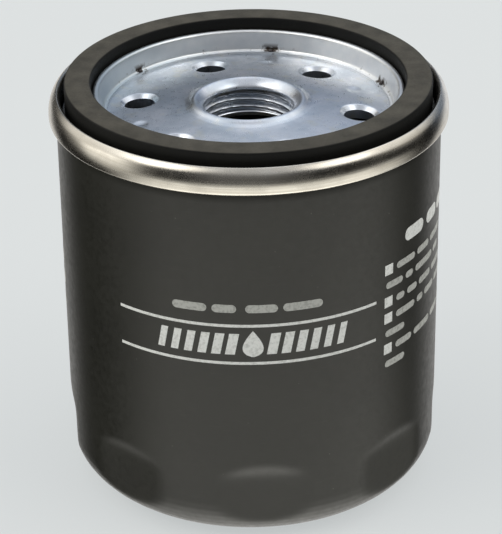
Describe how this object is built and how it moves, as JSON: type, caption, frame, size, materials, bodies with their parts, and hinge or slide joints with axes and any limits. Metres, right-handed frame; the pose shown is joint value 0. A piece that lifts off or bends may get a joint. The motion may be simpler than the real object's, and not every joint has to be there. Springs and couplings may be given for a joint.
{
  "type": "oil filter",
  "caption": "Spin-on oil filter: painted steel can with wrench flats, rolled seam, rubber gasket and a plated base plate with a threaded hub, around a pleated element with a bypass valve.",
  "frame": {"origin": "centre of the closed end's outer face, on the filter's axis", "axes": "+Z along the filter's axis, out of the threaded hole towards the engine; +X through one side, with a wrench flat 3 degrees off -Y"},
  "size_m": [0.0789, 0.0788, 0.0847],
  "materials": {
    "can_paint": "satin",
    "lid_steel": "bright tinned",
    "sealing_compound": "matte",
    "gasket_rubber": "matte",
    "plate_zinc": "bright zinc plated",
    "weld_metal": "scorched",
    "valve_rubber": "matte",
    "cap_steel": "bright tinned",
    "potting": "satin",
    "filter_paper": "matte",
    "tube_steel": "plain",
    "valve_nylon": "satin",
    "poppet_nylon": "satin",
    "spring_steel": "oil tempered"
  },
  "bodies": {
    "housing": {"can": "can_paint", "seaming_lid": "lid_steel", "seam_sealing_compound": "sealing_compound", "gasket": "gasket_rubber", "base_plate": "plate_zinc", "weld_spots": "weld_metal", "anti_drain_collar": "valve_rubber", "element_support_spring": "spring_steel"},
    "element": {"upper_end_cap": "cap_steel", "upper_potting": "potting", "lower_end_cap": "cap_steel", "lower_potting": "potting", "pleated_media": "filter_paper", "media_seam_clip": "cap_steel", "center_tube": "tube_steel", "bypass_housing": "valve_nylon", "bypass_spring_retainer": "valve_nylon", "bypass_spring": "spring_steel", "spring_seat_cup": "cap_steel"},
    "bypass_valve": {"bypass_poppet": "poppet_nylon", "bypass_poppet_seal": "valve_rubber"},
    "drain_valve": {"anti_drain_flap": "valve_rubber"}
  },
  "joints": [
    {"name": "element_float", "type": "slide", "parent": "housing", "child": "element", "axis": [0, 0, -1], "range_m": [0, 0.003], "stiffness_N_per_m": 900, "springref_m": -0.015, "deforming": ["element_support_spring"]},
    {"name": "bypass_lift", "type": "slide", "parent": "element", "child": "bypass_valve", "axis": [0, 0, 1], "range_m": [0, 0.0025], "stiffness_N_per_m": 2000, "springref_m": -0.006, "deforming": ["bypass_spring"]},
    {"name": "drain_flap_open", "type": "slide", "parent": "housing", "child": "drain_valve", "axis": [0, 0, -1], "range_m": [0, 0.0015], "stiffness_N_per_m": 1500, "springref_m": -0.0003}
  ]
}
